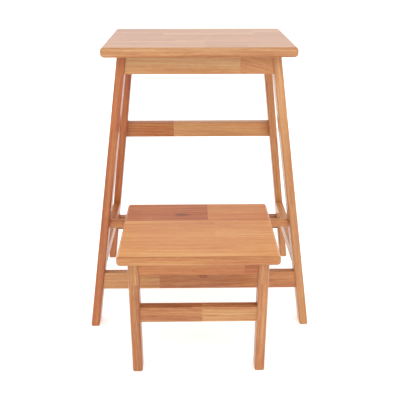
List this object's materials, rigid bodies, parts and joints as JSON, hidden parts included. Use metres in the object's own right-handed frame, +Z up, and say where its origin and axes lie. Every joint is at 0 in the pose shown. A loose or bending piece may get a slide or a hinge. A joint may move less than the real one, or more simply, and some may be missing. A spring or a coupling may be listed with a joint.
{
  "type": "flip step stool",
  "caption": "Wooden two-tread step stool: a tall stool on splayed legs with a low step that turns on a round rod and folds up inside it.",
  "frame": {"origin": "on the floor, under the middle of the whole object's box with the step down", "axes": "+X to the right of a person facing the step, +Y away from that person, +Z up"},
  "size_m": [0.4844, 0.5339, 0.605],
  "materials": {
    "tread_wood": "satin clear lacquer on glued-up planks, grain along X",
    "leg_wood": "satin clear lacquer, finger-jointed, grain along the leg",
    "rail_wood": "satin clear lacquer, finger-jointed, grain along the rail",
    "rod_wood": "satin clear lacquer, turned, grain along the rod",
    "dowel_wood": "plain unfinished dowel"
  },
  "bodies": {
    "stool": {"upper_tread": "tread_wood", "front_left_leg": "leg_wood", "front_right_leg": "leg_wood", "rear_left_leg": "leg_wood", "rear_right_leg": "leg_wood", "front_apron": "rail_wood", "rear_apron": "rail_wood", "left_apron": "rail_wood", "right_apron": "rail_wood", "upper_rear_rail": "rail_wood", "lower_rear_rail": "rail_wood", "lower_front_rail": "rail_wood", "left_side_rail": "rail_wood", "right_side_rail": "rail_wood", "rail_dowels": "dowel_wood", "side_dowels": "dowel_wood", "top_dowels": "dowel_wood"},
    "step": {"step_tread": "tread_wood", "step_left_leg": "leg_wood", "step_right_leg": "leg_wood", "step_apron": "rail_wood", "step_stretcher": "rail_wood", "step_left_cheek": "rail_wood", "step_right_cheek": "rail_wood", "pivot_rod": "rod_wood", "step_frame_dowels": "dowel_wood", "step_board_dowels": "dowel_wood"}
  },
  "joints": [
    {"name": "step_fold", "type": "hinge", "parent": "stool", "child": "step", "pos_m": [0, -0.04312, 0.233], "axis": [-1, 0, 0], "range_deg": [0, 193.5]}
  ]
}
